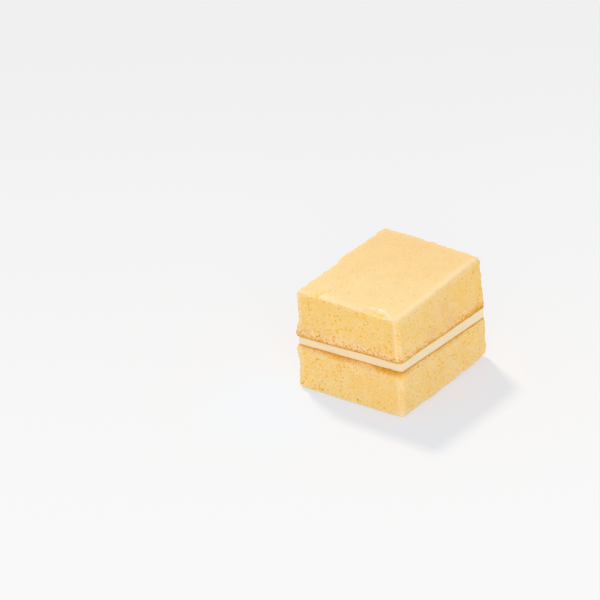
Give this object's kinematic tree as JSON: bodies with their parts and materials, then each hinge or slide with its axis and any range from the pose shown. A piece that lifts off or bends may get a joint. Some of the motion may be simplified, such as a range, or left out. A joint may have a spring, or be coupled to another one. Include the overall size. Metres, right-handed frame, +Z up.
{
  "type": "chiffon cake slice",
  "caption": "Oblong slice of pale chiffon cake, sponge above and below a flat band of cream filling.",
  "frame": {"origin": "middle of the slice's flat underside, on the surface that it rests on", "axes": "+Z up; +X along the slice's length; +Y across its width"},
  "size_m": [0.0659, 0.0538, 0.0477],
  "materials": {
    "sponge": "soft, open-pored yellow crumb, browned next to the cream",
    "cream": "smooth pale cream with a faint satin sheen"
  },
  "bodies": {
    "root": {"upper_sponge": "sponge", "cream_filling": "cream", "lower_sponge": "sponge"}
  },
  "joints": []
}
